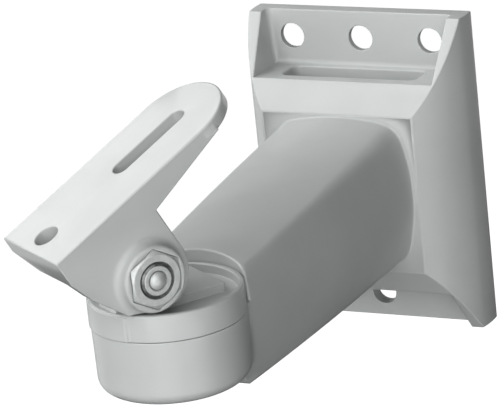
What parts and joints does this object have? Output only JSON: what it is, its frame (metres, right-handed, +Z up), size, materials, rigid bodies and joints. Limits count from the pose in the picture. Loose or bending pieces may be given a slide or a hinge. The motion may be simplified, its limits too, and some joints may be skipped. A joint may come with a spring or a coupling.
{
  "type": "camera bracket",
  "caption": "Wall bracket for a security camera: cast arm on a hollow wall plate, with a panning base and a tilting slotted saddle held by a hexagon nut.",
  "frame": {"origin": "middle of the wall plate's back face, on the wall", "axes": "+Z up the wall, -Y out along the arm away from the wall, +X to the right seen from the front"},
  "size_m": [0.0897, 0.2301, 0.1428],
  "materials": {
    "paint": "satin light grey paint on cast aluminium",
    "zinc": "dull zinc plate",
    "nylon": "matt black"
  },
  "bodies": {
    "arm": {"wall_arm": "paint", "friction_ring": "nylon"},
    "turntable": {"swivel_base": "paint", "pan_bolt": "zinc", "pan_washer": "zinc", "pan_spring_washer": "zinc"},
    "head": {"saddle": "paint", "tilt_nut": "zinc", "tilt_bolt": "zinc", "tilt_washer": "zinc", "tilt_spring_washer": "zinc", "tilt_friction_washer": "nylon"}
  },
  "joints": [
    {"name": "pan", "type": "hinge", "parent": "arm", "child": "turntable", "pos_m": [0, -0.179, 0.0031], "axis": [0, 0, 1], "range_deg": [-50, 70]},
    {"name": "tilt", "type": "hinge", "parent": "turntable", "child": "head", "pos_m": [-0.00817, -0.19158, 0.0258], "axis": [0.8387, -0.5446, 0], "range_deg": [-40, 0]}
  ]
}
